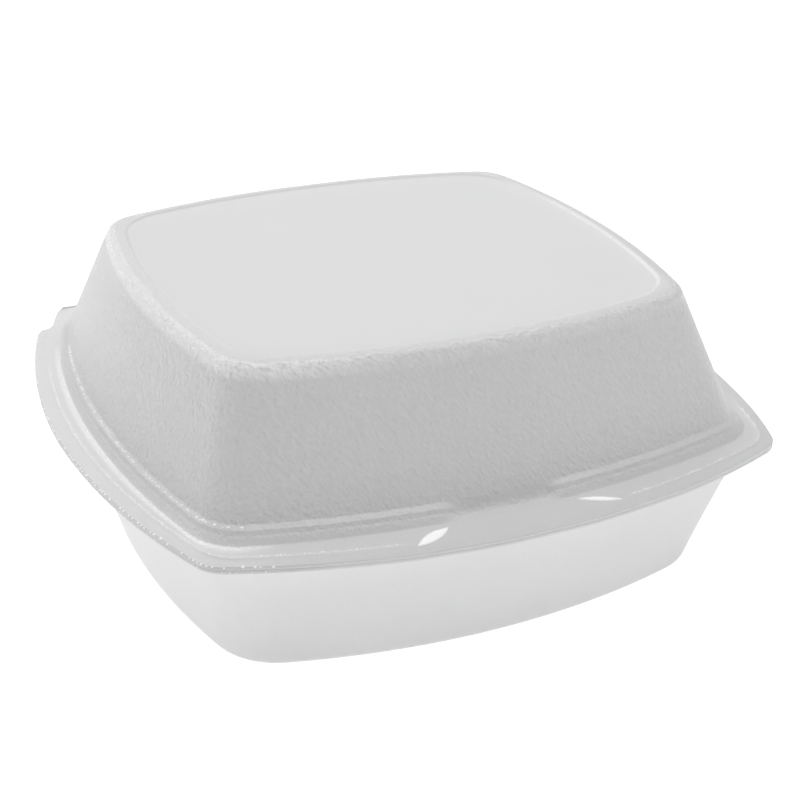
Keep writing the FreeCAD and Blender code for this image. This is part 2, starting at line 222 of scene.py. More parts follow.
def swept_rings(corners: Sequence[Corner]) -> list[np.ndarray]:
    """Turn the corners of a section into rings, with its corners rounded.

    Args:
        corners: The section's corners in order. The first and last stay sharp.

    Returns:
        The rings, each as rows of x, y and z.
    """
    rings: list[np.ndarray] = []
    for index, corner in enumerate(corners):
        arc = [corner.points]
        if corner.radius and 0 < index < len(corners) - 1:
            back = unit(corners[index - 1].points - corner.points)
            onward = unit(corners[index + 1].points - corner.points)
            half = np.arccos(np.clip((back * onward).sum(1), -1, 1))[:, None] / 2
            centre = corner.points + unit(back + onward) * corner.radius / np.sin(half)
            start = corner.points + back * corner.radius / np.tan(half) - centre
            end = corner.points + onward * corner.radius / np.tan(half) - centre
            sweep = np.maximum(np.pi - 2 * half, 1e-6)
            arc = []
            for step in range(corner.arc_steps + 1):
                share = step / corner.arc_steps
                mixed = np.sin((1 - share) * sweep) * start + np.sin(share * sweep) * end
                arc.append(centre + mixed / np.sin(sweep))
        if rings:
            runs = corners[index - 1].run_steps
            first = rings[-1]
            for step in range(1, runs):
                rings.append(first + (arc[0] - first) * step / runs)
        rings.extend(arc)
    return rings


def spread_rings(rings: Sequence[np.ndarray], shares: np.ndarray) -> list[np.ndarray]:
    """Place rings anew along the lines that a set of rings follows.

    Args:
        rings: Rings that follow one another.
        shares: Where the new rings stand along each line, from 0 to 1.

    Returns:
        One new ring for each share.
    """
    stack = np.stack(rings)
    gaps = np.linalg.norm(np.diff(stack, axis=0), axis=2)
    walked = np.concatenate([np.zeros((1, gaps.shape[1])), np.cumsum(gaps, axis=0)])
    walked /= walked[-1]
    placed = np.empty((len(shares), stack.shape[1], 3))
    for column in range(stack.shape[1]):
        for axis in range(3):
            placed[:, column, axis] = np.interp(shares, walked[:, column], stack[:, column, axis])
    return list(placed)


def walked_shares(rings: Sequence[np.ndarray]) -> np.ndarray:
    """Return how far along its section each ring stands, on average, from 0 to 1.

    Args:
        rings: Rings that follow one another.
    """
    gaps = np.linalg.norm(np.diff(np.stack(rings), axis=0), axis=2).mean(axis=1)
    walked = np.concatenate([[0.0], np.cumsum(gaps)])
    return walked / walked[-1]


def ripple(points: np.ndarray, length: float, seed: int, waves: int = 14) -> np.ndarray:
    """Return gentle unevenness at points, about -1 to 1, as a sum of waves in space.

    Args:
        points: Rows of x, y and z.
        length: The usual wave length.
        seed: Picks the waves.
        waves: How many waves are added up.
    """
    chance = np.random.RandomState(seed)
    total = np.zeros(len(points))
    for _ in range(waves):
        way = chance.normal(size=3)
        way *= 2 * np.pi / (length * chance.uniform(0.6, 1.6) * np.linalg.norm(way))
        total += np.sin(points @ way + chance.uniform(0, 2 * np.pi))
    return total / math.sqrt(waves / 2) / 1.6


def placed(name: str, data: bpy.types.ID) -> bpy.types.Object:
    """Put data in the scene as an object at the origin.

    Args:
        name: The object's name.
        data: Its mesh, lamp or camera.

    Returns:
        The new object.
    """
    made = bpy.data.objects.new(name, data)
    bpy.context.scene.collection.objects.link(made)
    return made


def meshed(name: str, points: Sequence, faces: Sequence = (),
           edges: Sequence = ()) -> bpy.types.Object:
    """Put a new mesh in the scene.

    Args:
        name: The name of the object and of its mesh.
        points: Rows of x, y and z in millimetres.
        faces: Each face's points, in order.
        edges: Pairs of points, where there are no faces.

    Returns:
        The new object, at the origin.
    """
    mesh = bpy.data.meshes.new(name)
    mesh.from_pydata((np.asarray(points) * METRES).tolist(), list(edges), list(faces))
    return placed(name, mesh)


def band(low: int, high: int, count: int) -> list[tuple[int, int, int, int]]:
    """Return the faces between two closed loops of points.

    Args:
        low: The first point of one loop.
        high: The first point of the other loop.
        count: How many points each loop has.
    """
    return [(low + i, low + (i + 1) % count, high + (i + 1) % count, high + i)
            for i in range(count)]


def applied(piece: bpy.types.Object) -> None:
    """Work a piece's modifiers into its mesh.

    Args:
        piece: The piece, which keeps its name.
    """
    graph = bpy.context.evaluated_depsgraph_get()
    mesh = bpy.data.meshes.new_from_object(piece.evaluated_get(graph))
    piece.modifiers.clear()
    old, piece.data = piece.data, mesh
    bpy.data.meshes.remove(old)
    mesh.name = piece.name


@dataclass
class ShellMesh:
    """A closed shell made of matching rings between two poles."""

    name: str
    rings: list[np.ndarray] = field(default_factory=list)
    skin: list[np.ndarray] = field(default_factory=list)
    crush_and_highlight: list[np.ndarray] = field(default_factory=list)
    edge: list[np.ndarray] = field(default_factory=list)

    def add(self, rings: Sequence[np.ndarray], skin: np.ndarray | float = 0.0,
            crush_and_highlight: np.ndarray | float = 0.0, edge: np.ndarray | float = 0.0) -> None:
        """Add rings, with how pimpled the foam is, how far it is pressed white and how strong its
        painted highlight is there.

        Args:
            rings: The rings to add, in order.
            skin: How strong the pimpled skin is, for the ring or for each of its points.
            crush_and_highlight: How far the foam is pressed white and lit by a painted highlight,
                for the ring or for each of its points.
            edge: How darkly the sheet's cut edge shows, for the ring or for each of its points.
        """
        for ring in rings:
            self.rings.append(ring)
            self.skin.append(np.broadcast_to(np.asarray(skin, float), (len(ring),)).copy())
            self.crush_and_highlight.append(np.broadcast_to(np.asarray(crush_and_highlight, float), (len(ring),)).copy())
            self.edge.append(np.broadcast_to(np.asarray(edge, float), (len(ring),)).copy())

    def object(self, shape: Callable[[np.ndarray], np.ndarray] | None = None) -> bpy.types.Object:
        """Make the closed mesh, with its faces pointing outwards.

        Args:
            shape: Moves the points before the mesh is made.

        Returns:
            The new object, at the origin.
        """
        count = len(self.rings[0])
        first, last = self.rings[0].mean(axis=0), self.rings[-1].mean(axis=0)
        points = np.concatenate(self.rings + [first[None], last[None]])
        if shape:
            points = shape(points)
        across = np.arange(count)
        beside = (across + 1) % count
        faces: list[tuple[int, ...]] = []
        for row in range(len(self.rings) - 1):
            low, high = row * count, (row + 1) * count
            corners = np.stack([low + across, high + across, high + beside, low + beside], axis=1)
            faces.extend(map(tuple, corners.tolist()))
        start, end = len(points) - 2, len(points) - 1
        top = (len(self.rings) - 1) * count
        faces.extend((start, a, b) for a, b in zip(across.tolist(), beside.tolist()))
        faces.extend((top + a, end, top + b) for a, b in zip(across.tolist(), beside.tolist()))
        shell = meshed(self.name, points, faces)
        mesh = shell.data
        skins = np.concatenate(self.skin + [np.zeros(2)])
        crushes = np.concatenate(self.crush_and_highlight + [np.zeros(2)])
        edges = np.concatenate(self.edge + [np.zeros(2)])
        for label, values in (("skin", skins), ("crush_and_highlight", crushes), ("edge", edges)):
            layer = mesh.attributes.new(label, "FLOAT", "POINT")
            layer.data.foreach_set("value", values.astype(np.float32))
        if signed_volume(mesh) < 0:
            mesh.flip_normals()
        return shell


def signed_volume(mesh: bpy.types.Mesh) -> float:
    """Return a closed mesh's volume, which is negative where its faces point inwards.

    Args:
        mesh: The mesh, in metres.
    """
    total = 0.0
    points = [vertex.co for vertex in mesh.vertices]
    for polygon in mesh.polygons:
        corners = [points[index] for index in polygon.vertices]
        for one, other in zip(corners[1:-1], corners[2:]):
            total += corners[0].dot(one.cross(other))
    return total / 6


def prism(name: str, plan: np.ndarray, low: float, high: float) -> bpy.types.Object:
    """Make an upright closed prism from a plan.

    Args:
        name: The object's name.
        plan: Rows of x and y, anticlockwise.
        low: Height of the underside.
        high: Height of the top.

    Returns:
        The new solid, at the origin.
    """
    count = len(plan)
    points = [(x, y, z) for z in (low, high) for x, y in plan]
    ends = [tuple(reversed(range(count))), tuple(range(count, 2 * count))]
    return meshed(name, points, ends + band(0, count, count))


def cut_away(piece: bpy.types.Object, cutters: Sequence[bpy.types.Object]) -> None:
    """Cut solids away from a piece and keep the result as a plain mesh.

    Args:
        piece: The piece that is cut.
        cutters: Closed solids. They stay, for other pieces.
    """
    for cutter in cutters:
        modifier = piece.modifiers.new("cut", "BOOLEAN")
        modifier.operation = "DIFFERENCE"
        modifier.solver = "EXACT"
        modifier.object = cutter
    applied(piece)


def smooth(piece: bpy.types.Object, degrees: float) -> None:
    """Shade a piece smooth, and keep its sharp edges.

    Args:
        piece: The piece.
        degrees: Edges that turn by more than this stay sharp.
    """
    mesh = piece.data
    mesh.polygons.foreach_set("use_smooth", [True] * len(mesh.polygons))
    mesh.set_sharp_from_angle(angle=math.radians(degrees))


@dataclass(frozen=True)
class FormedSheet:
    """Sizes of the formed foam sheet, in millimetres.

    All but three match the part's source. The rim clearance is the scene's own, and lets the
    two rims all but touch. The lid's foot and crown are 0.1 mm wider and deeper here, and
    their corner radii are 1.7 and 1.8 mm larger.
    """

    wall: float = 2.4
    rim_thickness: float = 0.7
    parting_gap: float = 0.1
    rim_clearance: float = 0.03
    rim_fall: float = 0.2
    tray_wall_height: float = 31.5
    lid_wall_height: float = 29.7
    collar_height: float = 2.8
    panel_recess: float = 0.4
    hinge_y: float = 66.2
    notch_y: float = 53.8
    hinge_relief: float = 0.05
    notch_rounding: float = 1.3
    rim: BowedOutline = BowedOutline(152.0, 152.4, 165.0, 7.3)
    strip: BowedOutline = BowedOutline(146.0, 228.6, 162.0, 7.3)
    crease: BowedOutline = BowedOutline(145.0, 145.4, 176.0, 8.9)
    tray_mouth: BowedOutline = BowedOutline(141.4, 136.4, 165.0, 16.5, -2.6)
    tray_floor: BowedOutline = BowedOutline(121.4, 116.4, 165.0, 15.4, -2.6)
    lid_foot: BowedOutline = BowedOutline(135.3, 131.3, 201.0, 10.8)
    lid_crown: BowedOutline = BowedOutline(111.9, 102.9, 174.7, 9.6)
    panel: BowedOutline = BowedOutline(106.0, 97.0, 171.8, 14.0)

    @property
    def tray_rim_top(self) -> float:
        """Height of the tray's rim."""
        return self.tray_wall_height + self.rim_thickness + self.parting_gap - self.rim_clearance

    @property
    def lid_rim_under(self) -> float:
        """Height of the underside of the lid's rim."""
        return self.tray_rim_top + self.rim_clearance

    @property
    def rim_edge_top(self) -> float:
        """Height of the top of the lid's rim at its edge."""
        return self.lid_rim_under + self.rim_thickness

    @property
    def rim_top(self) -> float:
        """Height of the lid's rim at its crease and inwards."""
        return self.rim_edge_top + self.rim_fall

    @property
    def crown(self) -> float:
        """Height of the lid's top."""
        return self.rim_top + self.lid_wall_height

    @property
    def axis(self) -> tuple[float, float]:
        """Distance back and height of the hinge's axis."""
        return self.hinge_y, self.tray_wall_height + self.rim_thickness + self.parting_gap / 2


def side_reach(outline: BowedOutline, back: np.ndarray) -> np.ndarray:
    """Return how far an outline's side stands from the middle.

    Args:
        outline: The outline, which isn't shifted.
        back: Distances behind the middle.
    """
    return np.sqrt(outline.bow ** 2 - back ** 2) - outline.bow + outline.width / 2


def rim_settled(points: np.ndarray) -> np.ndarray:
    """Return points with the rim's slight sag, which the tray's and the lid's rims share.

    Args:
        points: Rows of x, y and z in millimetres.
    """
    sheet = FormedSheet()
    low = soft_step(points[:, 2], sheet.tray_wall_height - 6.0, sheet.tray_wall_height)
    high = 1 - soft_step(points[:, 2], sheet.rim_top + 0.1, sheet.rim_top + 3.0)
    foot = side_reach(sheet.lid_foot, np.clip(points[:, 1], -60, 60))
    side = soft_step(points[:, 0] - foot, 2.5, 8.5) * soft_step(points[:, 1], 66.0, 46.0)
    side *= soft_step(points[:, 1], -66.0, -20.0)
    uneven = 0.12 * ripple(points * np.array([1.0, 1.0, 0.0]), 34.0, 11)
    reach = soft_step(np.abs(points[:, 0]), 66.0, 74.0) + soft_step(-points[:, 1], 66.0, 74.0)
    shifted = points.copy()
    shifted[:, 2] += low * high * (-1.3 * side + uneven * np.clip(reach, 0, 1))
    return shifted


def cut_edge_shade(ring: np.ndarray) -> np.ndarray:
    """Return how darkly the rim's cut edge shows: fully on the left, faintly at the front.

    Args:
        ring: Points round the rim, in millimetres.
    """
    return 0.25 + 0.75 * soft_step(ring[:, 0], -30.0, -56.0)


@dataclass
class CuttingDie:
    """The die that trims the sheet: the notched hinge strip and the two lens slots."""

    sheet: FormedSheet
    lock_offset: float = -2.4
    inner_reach: float = 14.2
    inner_inset: float = 8.0
    outer_reach: float = 22.4
    outer_inset: float = 4.3
    left_bulge: float = 1.25
    right_bulge: float = 0.75

    def back_waste(self) -> bpy.types.Object:
        """Return the solid behind the hinge crease and outside the hinge strip."""
        sheet = self.sheet
        radius = sheet.notch_rounding
        crease = sheet.hinge_y - sheet.hinge_relief
        back = np.linspace(crease, sheet.notch_y + radius, 12)
        strip_x = float(side_reach(sheet.strip, np.array(sheet.notch_y)))
        rim_x = float(side_reach(sheet.rim, np.array(sheet.notch_y)))
        right = list(zip(side_reach(sheet.strip, back), back))
        turn = np.linspace(0, np.pi / 2, 9)[1:]
        right += [(strip_x + radius * (1 - math.cos(t)), sheet.notch_y + radius * (1 - math.sin(t)))
                  for t in turn]
        right += [(rim_x - radius * (1 - math.sin(t)), sheet.notch_y - radius * (1 - math.cos(t)))
                  for t in turn]
        right.append((90.0, sheet.notch_y - radius))
        left = [(-x, y) for x, y in right]
        plan = right + [(90.0, 95.0), (-90.0, 95.0)] + left[::-1]
        return prism("die_back", np.array(plan), -2.0, sheet.crown + 2.0)

    def lens_plan(self, side: int, shrink: float = 0.0, tip_gap: float = 0.0,
                  ragged: float = 0.0) -> np.ndarray:
        """Draw one lens of the lock, anticlockwise.

        Args:
            side: -1 for the left lens and 1 for the right one.
            shrink: How much less each arc bulges.
            tip_gap: How much shorter the lens is at each tip.
            ragged: How far the lens's inner edge strays.

        Returns:
            Rows of x and y.
        """
        bulge = (self.left_bulge if side < 0 else self.right_bulge) - shrink
        front = -self.sheet.rim.depth / 2
        slope = (self.inner_inset - self.outer_inset) / (self.outer_reach - self.inner_reach)
        outer = np.array([self.lock_offset + side * (self.outer_reach - tip_gap),
                          front + self.outer_inset + tip_gap * slope])
        inner = np.array([self.lock_offset + side * (self.inner_reach + tip_gap),
                          front + self.inner_inset - tip_gap * slope])
        share = np.linspace(0, 1, 21)[:-1]
        along = inner - outer
        aside = np.array([along[1], -along[0]]) / np.linalg.norm(along)
        bow = (4 * share * (1 - share))[:, None] * bulge * aside
        chance = np.random.RandomState(5 + side)
        stray = np.zeros((len(share), 2))
        stray[2:-2] = chance.uniform(-ragged, ragged, (len(share) - 4, 1)) * aside
        near = outer + along * share[:, None] + bow
        far = inner - along * share[:, None] - bow + stray
        plan = np.concatenate([near, far])
        shifted = np.roll(plan, -1, axis=0)
        area = (plan[:, 0] * shifted[:, 1] - plan[:, 1] * shifted[:, 0]).sum()
        return plan if area > 0 else plan[::-1]

    def slots(self) -> list[bpy.types.Object]:
        """Return the two solids that cut the lock's slots."""
        return [prism(f"die_slot_{label}", self.lens_plan(side), 31.0, self.sheet.crown + 2.0)
                for label, side in (("left", -1), ("right", 1))]


@dataclass
class TrayShell:
    """The base tray: floor, drafted walls and rim, as one closed shell."""

    sheet: FormedSheet
    grid: RingGrid
    floor_rounding: float = 2.8
    inner_rounding: float = 3.0
    lip_rounding: float = 0.9
    cove_radius: float = 1.2
    wall_wave: float = 0.16

    def flat_rings(self, outline: BowedOutline, height: float,
                   shares: Sequence[float]) -> list[np.ndarray]:
        """Return rings on a flat floor.

        Args:
            outline: The outline that a share of 1 follows.
            height: How high the floor is.
            shares: How far out each ring stands, from 0 to 1.
        """
        ring = self.grid.ring(outline, height)
        middle = np.array([0.0, outline.shift, height])
        return [middle + (ring - middle) * share for share in shares]

    def build(self) -> bpy.types.Object:
        """Return the tray's shell, before its die cut."""
        sheet, ring = self.sheet, self.grid.ring
        under, top = sheet.tray_wall_height, sheet.tray_rim_top
        shell = ShellMesh("tray_shell")
        shares = (0.02, 0.1, 0.22, 0.36, 0.5, 0.64, 0.78, 0.88)
        shell.add(self.flat_rings(sheet.tray_floor, 0.0, shares))
        outside = swept_rings([
            Corner(ring(sheet.tray_floor.grown(-5.0), 0.0), run_steps=2),
            Corner(ring(sheet.tray_floor, 0.0), self.floor_rounding, 10, 20),
            Corner(ring(sheet.tray_mouth, under), self.cove_radius, 6, 3),
            Corner(ring(sheet.rim, under), 0.16, 2, 1),
            Corner(ring(sheet.rim, top), 0.05, 2, 1),
            Corner(ring(sheet.rim.grown(-0.8), top)),
        ])
        shell.add(outside[:-6], skin=0.25)
        shell.add(outside[-6:-1], skin=0.25, edge=cut_edge_shade(outside[-1]))
        shell.add(outside[-1:], skin=0.25)
        floor_top = sheet.wall
        slope = sheet.tray_wall_height
        inner_floor, inner_mouth = (
            sheet.tray_floor.towards(sheet.tray_mouth, height / slope).grown(-sheet.wall)
            for height in (floor_top, top))
        inside = swept_rings([
            Corner(ring(sheet.rim.grown(-0.8), top), run_steps=4),
            Corner(ring(inner_mouth, top), self.lip_rounding, 6, 16),
            Corner(ring(inner_floor, floor_top), self.inner_rounding, 8, 1),
            Corner(ring(inner_floor.grown(-5.0), floor_top)),
        ])
        shell.add(inside[1:], skin=0.35)
        shell.add(self.flat_rings(inner_floor, floor_top, (0.88, 0.7, 0.5, 0.3, 0.12, 0.02)))
        return shell.object(self.settled)

    def settled(self, points: np.ndarray) -> np.ndarray:
        """Return points with the sag of the rim and the slight waves of the walls.

        Args:
            points: Rows of x, y and z in millimetres.
        """
        shifted = rim_settled(points)
        height = points[:, 2]
        wall = soft_step(height, 1.0, 8.0) * (1 - soft_step(height, 22.0, 30.0))
        middle = np.array([0.0, self.sheet.tray_mouth.shift, 0.0])
        outward = unit((points - middle) * np.array([1.0, 1.0, 0.0]))
        wave = self.wall_wave * wall * ripple(points * np.array([1, 1, 0.5]), 38.0, 3)
        return shifted + outward * wave[:, None]


@dataclass
class LidShell:
    """The lid: recessed panel, drafted walls, stepped collar, rim and raised crease."""

    sheet: FormedSheet
    grid: RingGrid
    crown_rounding: float = 2.5
    inner_rounding: float = 1.6
    cove_radius: float = 3.0
    collar_shelf: float = 0.85
    collar_foot: float = 2.1
    collar_roof: float = 1.8
    crease_height: float = 0.3
    crease_foot: float = 0.6
    collar_left_end: float = -12.4
    collar_right_end: float = 7.6
    lens_left_tip: float = -24.8
    lens_right_tip: float = 20.0
    back_fade: tuple[float, float] = (44.0, 30.0)
    wall_wave: float = 0.14
    top_wave: float = 0.07
    hinge_thinning: float = 0.35

    def collar_presence(self, margin: float = 0.0) -> np.ndarray:
        """Return how far the collar stands out at each point round the lid, from 0 to 1.

        It fades out at the lock's left and towards the hinge, and ends in a step at its right.

        Args:
            margin: How much less far it runs.
        """
        points = self.grid.ring(self.sheet.lid_foot, 0.0)
        x, y = points[:, 0], points[:, 1]
        front = y < -45
        left = soft_step(x, self.collar_left_end - margin + 1.0, self.collar_left_end - margin - 5.0)
        right_end = self.collar_right_end + margin
        right = soft_step(x, right_end - 0.15, right_end + 0.35)
        present = np.where(front & (np.abs(x) < 50), np.maximum(left, right), 1.0)
        return present * soft_step(y, self.back_fade[0] - margin, self.back_fade[1] - margin)

    def crease_presence(self) -> np.ndarray:
        """Return how far the rim's crease stands out at each point, from 0 to 1."""
        points = self.grid.ring(self.sheet.crease, 0.0)
        x, y = points[:, 0], points[:, 1]
        left = soft_step(x, self.lens_left_tip, self.lens_left_tip - 3.0)
        right = soft_step(x, self.lens_right_tip, self.lens_right_tip + 3.0)
        present = np.where((y < -45) & (np.abs(x) < 55), np.maximum(left, right), 1.0)
        fade = np.where(x > 0, soft_step(y, -38.0, -56.0), soft_step(y, 38.0, 22.0))
        return present * fade

    def wall_point(self, height: float, outward: float = 0.0) -> np.ndarray:
        """Return a ring on the lid's wall.

        Args:
            height: How high it stands.
            outward: How far outside the wall.
        """
        sheet = self.sheet
        foot, way = self.grid.walked(sheet.lid_foot, sheet.rim_top)
        crown = self.grid.ring(sheet.lid_crown, sheet.crown)
        share = (height - sheet.rim_top) / sheet.lid_wall_height
        return foot + (crown - foot) * share + way * outward

    def band_start(self) -> np.ndarray:
        """Return the ring where the flat band begins, just outside the collar's foot."""
        near = self.wall_point(self.sheet.rim_top, self.collar_foot + 0.25)
        return near + (self.crease_line(-1.0) - near) * 0.3

    def crease_line(self, place: float) -> np.ndarray:
        """Return a line of the rim's crease, kept clear of the collar's foot at the corners.

        Args:
            place: Where it runs across the crease, from -1 inside to 1 outside.
        """
        sheet = self.sheet
        near, way = self.grid.walked(sheet.lid_foot.grown(self.collar_foot + 0.25), sheet.rim_top)
        line = self.grid.ring(sheet.crease.grown(place * self.crease_foot), sheet.rim_top)
        least = 0.2 + (place + 1) * self.crease_foot
        room = ((line - near) * way).sum(axis=1)
        return line + way * np.maximum(least - room, 0)[:, None]

    def outer_foot(self) -> list[np.ndarray]:
        """Return the rings from the wall's lower part to the flat band, with and without collar."""
        sheet = self.sheet
        start = self.wall_point(sheet.rim_top + 7.0)
        end = self.band_start()
        top = sheet.rim_top + sheet.collar_height
        stepped = swept_rings([
            Corner(start, run_steps=4),
            Corner(self.wall_point(top + 0.15), 0.6, 4, 1),
            Corner(self.wall_point(top - 0.5, self.collar_shelf), 0.6, 5, 2),
            Corner(self.wall_point(sheet.rim_top + 1.5, self.collar_shelf + 0.12), 0.16, 2, 1),
            Corner(self.wall_point(sheet.rim_top + 1.2, self.collar_shelf + 0.38), 0.16, 2, 1),
            Corner(self.wall_point(sheet.rim_top, self.collar_foot - 0.3), 0.75, 6, 2),
            Corner(end),
        ])
        plain = swept_rings([
            Corner(start, run_steps=3),
            Corner(self.wall_point(sheet.rim_top), self.cove_radius, 16, 2),
            Corner(end),
        ])
        plain = spread_rings(plain, walked_shares(stepped))
        share = self.collar_presence()[:, None]
        return [flat + (step - flat) * share for flat, step in zip(plain, stepped)]

    def inner_foot(self) -> list[np.ndarray]:
        """Return the rings inside the lid's foot, from the rim's underside up to the wall."""
        sheet = self.sheet
        under = sheet.lid_rim_under
        roof = sheet.rim_top + sheet.collar_height - self.collar_roof
        start = self.wall_point(under, 1.2)
        end = self.wall_point(under + 7.0, -sheet.wall)
        stepped = swept_rings([
            Corner(start, run_steps=1),
            Corner(self.wall_point(under, self.collar_foot - sheet.wall), 0.3, 3, 1),
            Corner(self.wall_point(roof, self.collar_foot - sheet.wall), 0.3, 3, 2),
            Corner(self.wall_point(roof, -sheet.wall), 0.3, 3, 2),
            Corner(end),
        ])
        plain = swept_rings([
            Corner(start, run_steps=3),
            Corner(self.wall_point(under, -sheet.wall), 0.4, 3, 6),
            Corner(end),
        ])
        plain = spread_rings(plain, walked_shares(stepped))
        share = self.collar_presence(sheet.wall)[:, None]
        return [flat + (step - flat) * share for flat, step in zip(plain, stepped)]

    def rim_rings(self, shell: ShellMesh) -> None:
        """Add the flat band, the crease, the sloping outer band and the cut edge.

        Args:
            shell: The shell that takes the rings.
        """
        sheet, ring = self.sheet, self.grid.ring
        present = self.crease_presence()
        start = self.band_start()
        shell.add([start + (self.crease_line(-1.0) - start) * 0.5], skin=0.1)
        for place in (-1.0, -0.66, -0.33, 0.0, 0.33, 0.66, 1.0):
            bump = self.crease_height * math.cos(place * math.pi / 2) ** 2
            line = self.crease_line(place)
            line[:, 2] += bump * present
            # The crease is pressed whiter and also carries a painted highlight.
            shell.add([line], skin=0.1, crush_and_highlight=present * 0.45 * max(0.0, 1 - abs(place) * 1.4))
        outer = self.crease_line(1.0)
        edge = ring(sheet.rim, sheet.rim_edge_top)
        bands = swept_rings([
            Corner(outer, run_steps=4),
            Corner(edge, 0.2, 3, 1),
            Corner(ring(sheet.rim, sheet.lid_rim_under), 0.05, 2, 2),
            Corner(ring(sheet.rim.grown(-2.0), sheet.lid_rim_under)),
        ])
        shell.add(bands[1:5], skin=0.4)
        shell.add(bands[5:-3], skin=0.3, edge=cut_edge_shade(bands[0]))
        shell.add(bands[-3:], skin=0.15)

    def build(self) -> bpy.types.Object:
        """Return the lid's shell, before its die cut."""
        sheet, ring = self.sheet, self.grid.ring
        shell = ShellMesh("lid_shell")
        sunk = sheet.crown - sheet.panel_recess
        middle = np.array([0.0, 0.0, sunk])
        panel = ring(sheet.panel.grown(-1.0), sunk)
        for share in (0.02, 0.1, 0.22, 0.36, 0.5, 0.64, 0.78, 0.9, 1.0):
            shell.add([middle + (panel - middle) * share])
        # Painted highlight along the panel's step, full at the front and none at the back, where the
        # step's edge catches the light.
        step_highlight = 0.5 * soft_step(panel[:, 1], 40.0, 0.0)
        for share in (0.2, 0.4, 0.6, 0.8):
            level = share * share * (3 - 2 * share)
            shell.add([ring(sheet.panel.grown(-1.0 + share), sunk + sheet.panel_recess * level)],
                      crush_and_highlight=step_highlight)
        shell.add([ring(sheet.panel, sheet.crown)], skin=0.4)
        crown = swept_rings([
            Corner(ring(sheet.panel, sheet.crown), run_steps=2),
            Corner(ring(sheet.lid_crown.grown(-2.1), sheet.crown - 0.08), 1.4, 3, 1),
            Corner(self.wall_point(sheet.crown - 0.5, -0.1), self.crown_rounding, 14, 24),
            Corner(self.wall_point(sheet.rim_top + 7.0)),
        ])
        beside = self.wall_point(sheet.rim_top)[:, 0]
        leftward = soft_step(beside, -30.0, -52.0)
        # Painted sheen on the crown's rounding, stronger on the left, where the lamps behind glint
        # on it.
        painted_crown_sheen = 0.25 + 0.45 * soft_step(beside, -20.0, -50.0)
        pimpled = 1.0 + 0.35 * leftward
        shell.add(crown[1:6], skin=0.5)
        shell.add(crown[6:8], skin=1.0, crush_and_highlight=painted_crown_sheen * 0.5)
        shell.add(crown[8:21], skin=1.2, crush_and_highlight=painted_crown_sheen)
        shell.add(crown[21:22], skin=pimpled, crush_and_highlight=painted_crown_sheen * 0.6)
        shell.add(crown[22:], skin=pimpled)
        foot = self.outer_foot()[1:]
        # Painted glint on the collar's foot on the left side, where the lamps behind catch its cove.
        left = soft_step(beside, -46.0, -57.0) * self.collar_presence()
        shell.add(foot[:6], skin=pimpled)
        shell.add(foot[6:-9], skin=0.6)
        shell.add(foot[-9:-6], skin=0.15, crush_and_highlight=left * 0.3)
        shell.add(foot[-6:-1], skin=0.5, crush_and_highlight=left)
        shell.add(foot[-1:], skin=0.15, crush_and_highlight=left * 0.3)
        self.rim_rings(shell)
        inside = self.inner_foot()
        shell.add(inside, skin=0.2)
        ceiling = sheet.crown - sheet.wall
        share = (ceiling - sheet.rim_top) / sheet.lid_wall_height
        inner_crown = sheet.lid_foot.towards(sheet.lid_crown, share).grown(-sheet.wall)
        walls = swept_rings([
            Corner(inside[-1], run_steps=14),
            Corner(ring(inner_crown, ceiling), self.inner_rounding, 6, 1),
            Corner(ring(inner_crown.grown(-4.0), ceiling)),
        ])
        shell.add(walls[1:], skin=0.5)
        inner = ring(inner_crown.grown(-4.0), ceiling)
        centre = np.array([0.0, 0.0, ceiling])
        for share in (0.86, 0.66, 0.46, 0.28, 0.12, 0.02):
            shell.add([centre + (inner - centre) * share])
        return shell.object(self.settled)

    def settled(self, points: np.ndarray) -> np.ndarray:
        """Return points with the sag of the rim, the waves of the walls and the thin hinge.

        Args:
            points: Rows of x, y and z in millimetres.
        """
        sheet = self.sheet
        shifted = rim_settled(points)
        height = points[:, 2]
        wall = soft_step(height, sheet.rim_top + 3, sheet.rim_top + 9)
        wall *= 1 - soft_step(height, sheet.crown - 6, sheet.crown - 2)
        outward = unit(points * np.array([1.0, 1.0, 0.0]))
        wave = self.wall_wave * wall * ripple(points * np.array([1, 1, 0.5]), 34.0, 9)
        shifted += outward * wave[:, None]
        level = soft_step(height, sheet.crown - 1.0, sheet.crown - 0.3)
        shifted[:, 2] += self.top_wave * level * ripple(points * np.array([1, 1, 0]), 42.0, 4)
        thin = soft_step(points[:, 1], 61.0, 66.0) * soft_step(height, sheet.rim_edge_top - 0.2,
                                                             sheet.rim_edge_top)
        thin *= 1 - soft_step(height, sheet.rim_top + 0.1, sheet.rim_top + 1.5)
        shifted[:, 2] -= self.hinge_thinning * thin
        return shifted


@dataclass
class LockLugs:
    """The two torn tongues of the tray's rim that stand in the lid's lens slots."""

    sheet: FormedSheet
    die: CuttingDie
    clearance: float = 0.03
    tip_gap: float = 0.05
    rise: float = 0.3

    def build(self) -> bpy.types.Object:
        """Return both tongues as one mesh: low domes with a torn inner edge."""
        points: list[tuple[float, float, float]] = []
        faces: list[tuple[int, ...]] = []
        low, top = self.sheet.tray_rim_top - 0.3, self.sheet.rim_top
        for side in (-1, 1):
            plan = self.die.lens_plan(side, self.clearance, self.tip_gap, 0.03)
            middle = plan.mean(axis=0)
            start = len(points)
            count = len(plan)
            levels = ((1.0, low), (1.0, top + 0.02), (0.95, top + 0.1),
                      (0.7, top + self.rise * 0.8), (0.35, top + self.rise))
            for scale, height in levels:
                points.extend((*(middle + (place - middle) * scale), height) for place in plan)
            points.append((*middle, top + self.rise * 1.05))
            for row in range(len(levels) - 1):
                faces.extend(band(start + row * count, start + (row + 1) * count, count))
            last = start + (len(levels) - 1) * count
            faces.extend((last + i, last + (i + 1) % count, len(points) - 1) for i in range(count))
            faces.append(tuple(start + i for i in reversed(range(count))))
        return meshed("lock_lugs", rim_settled(np.array(points)), faces)


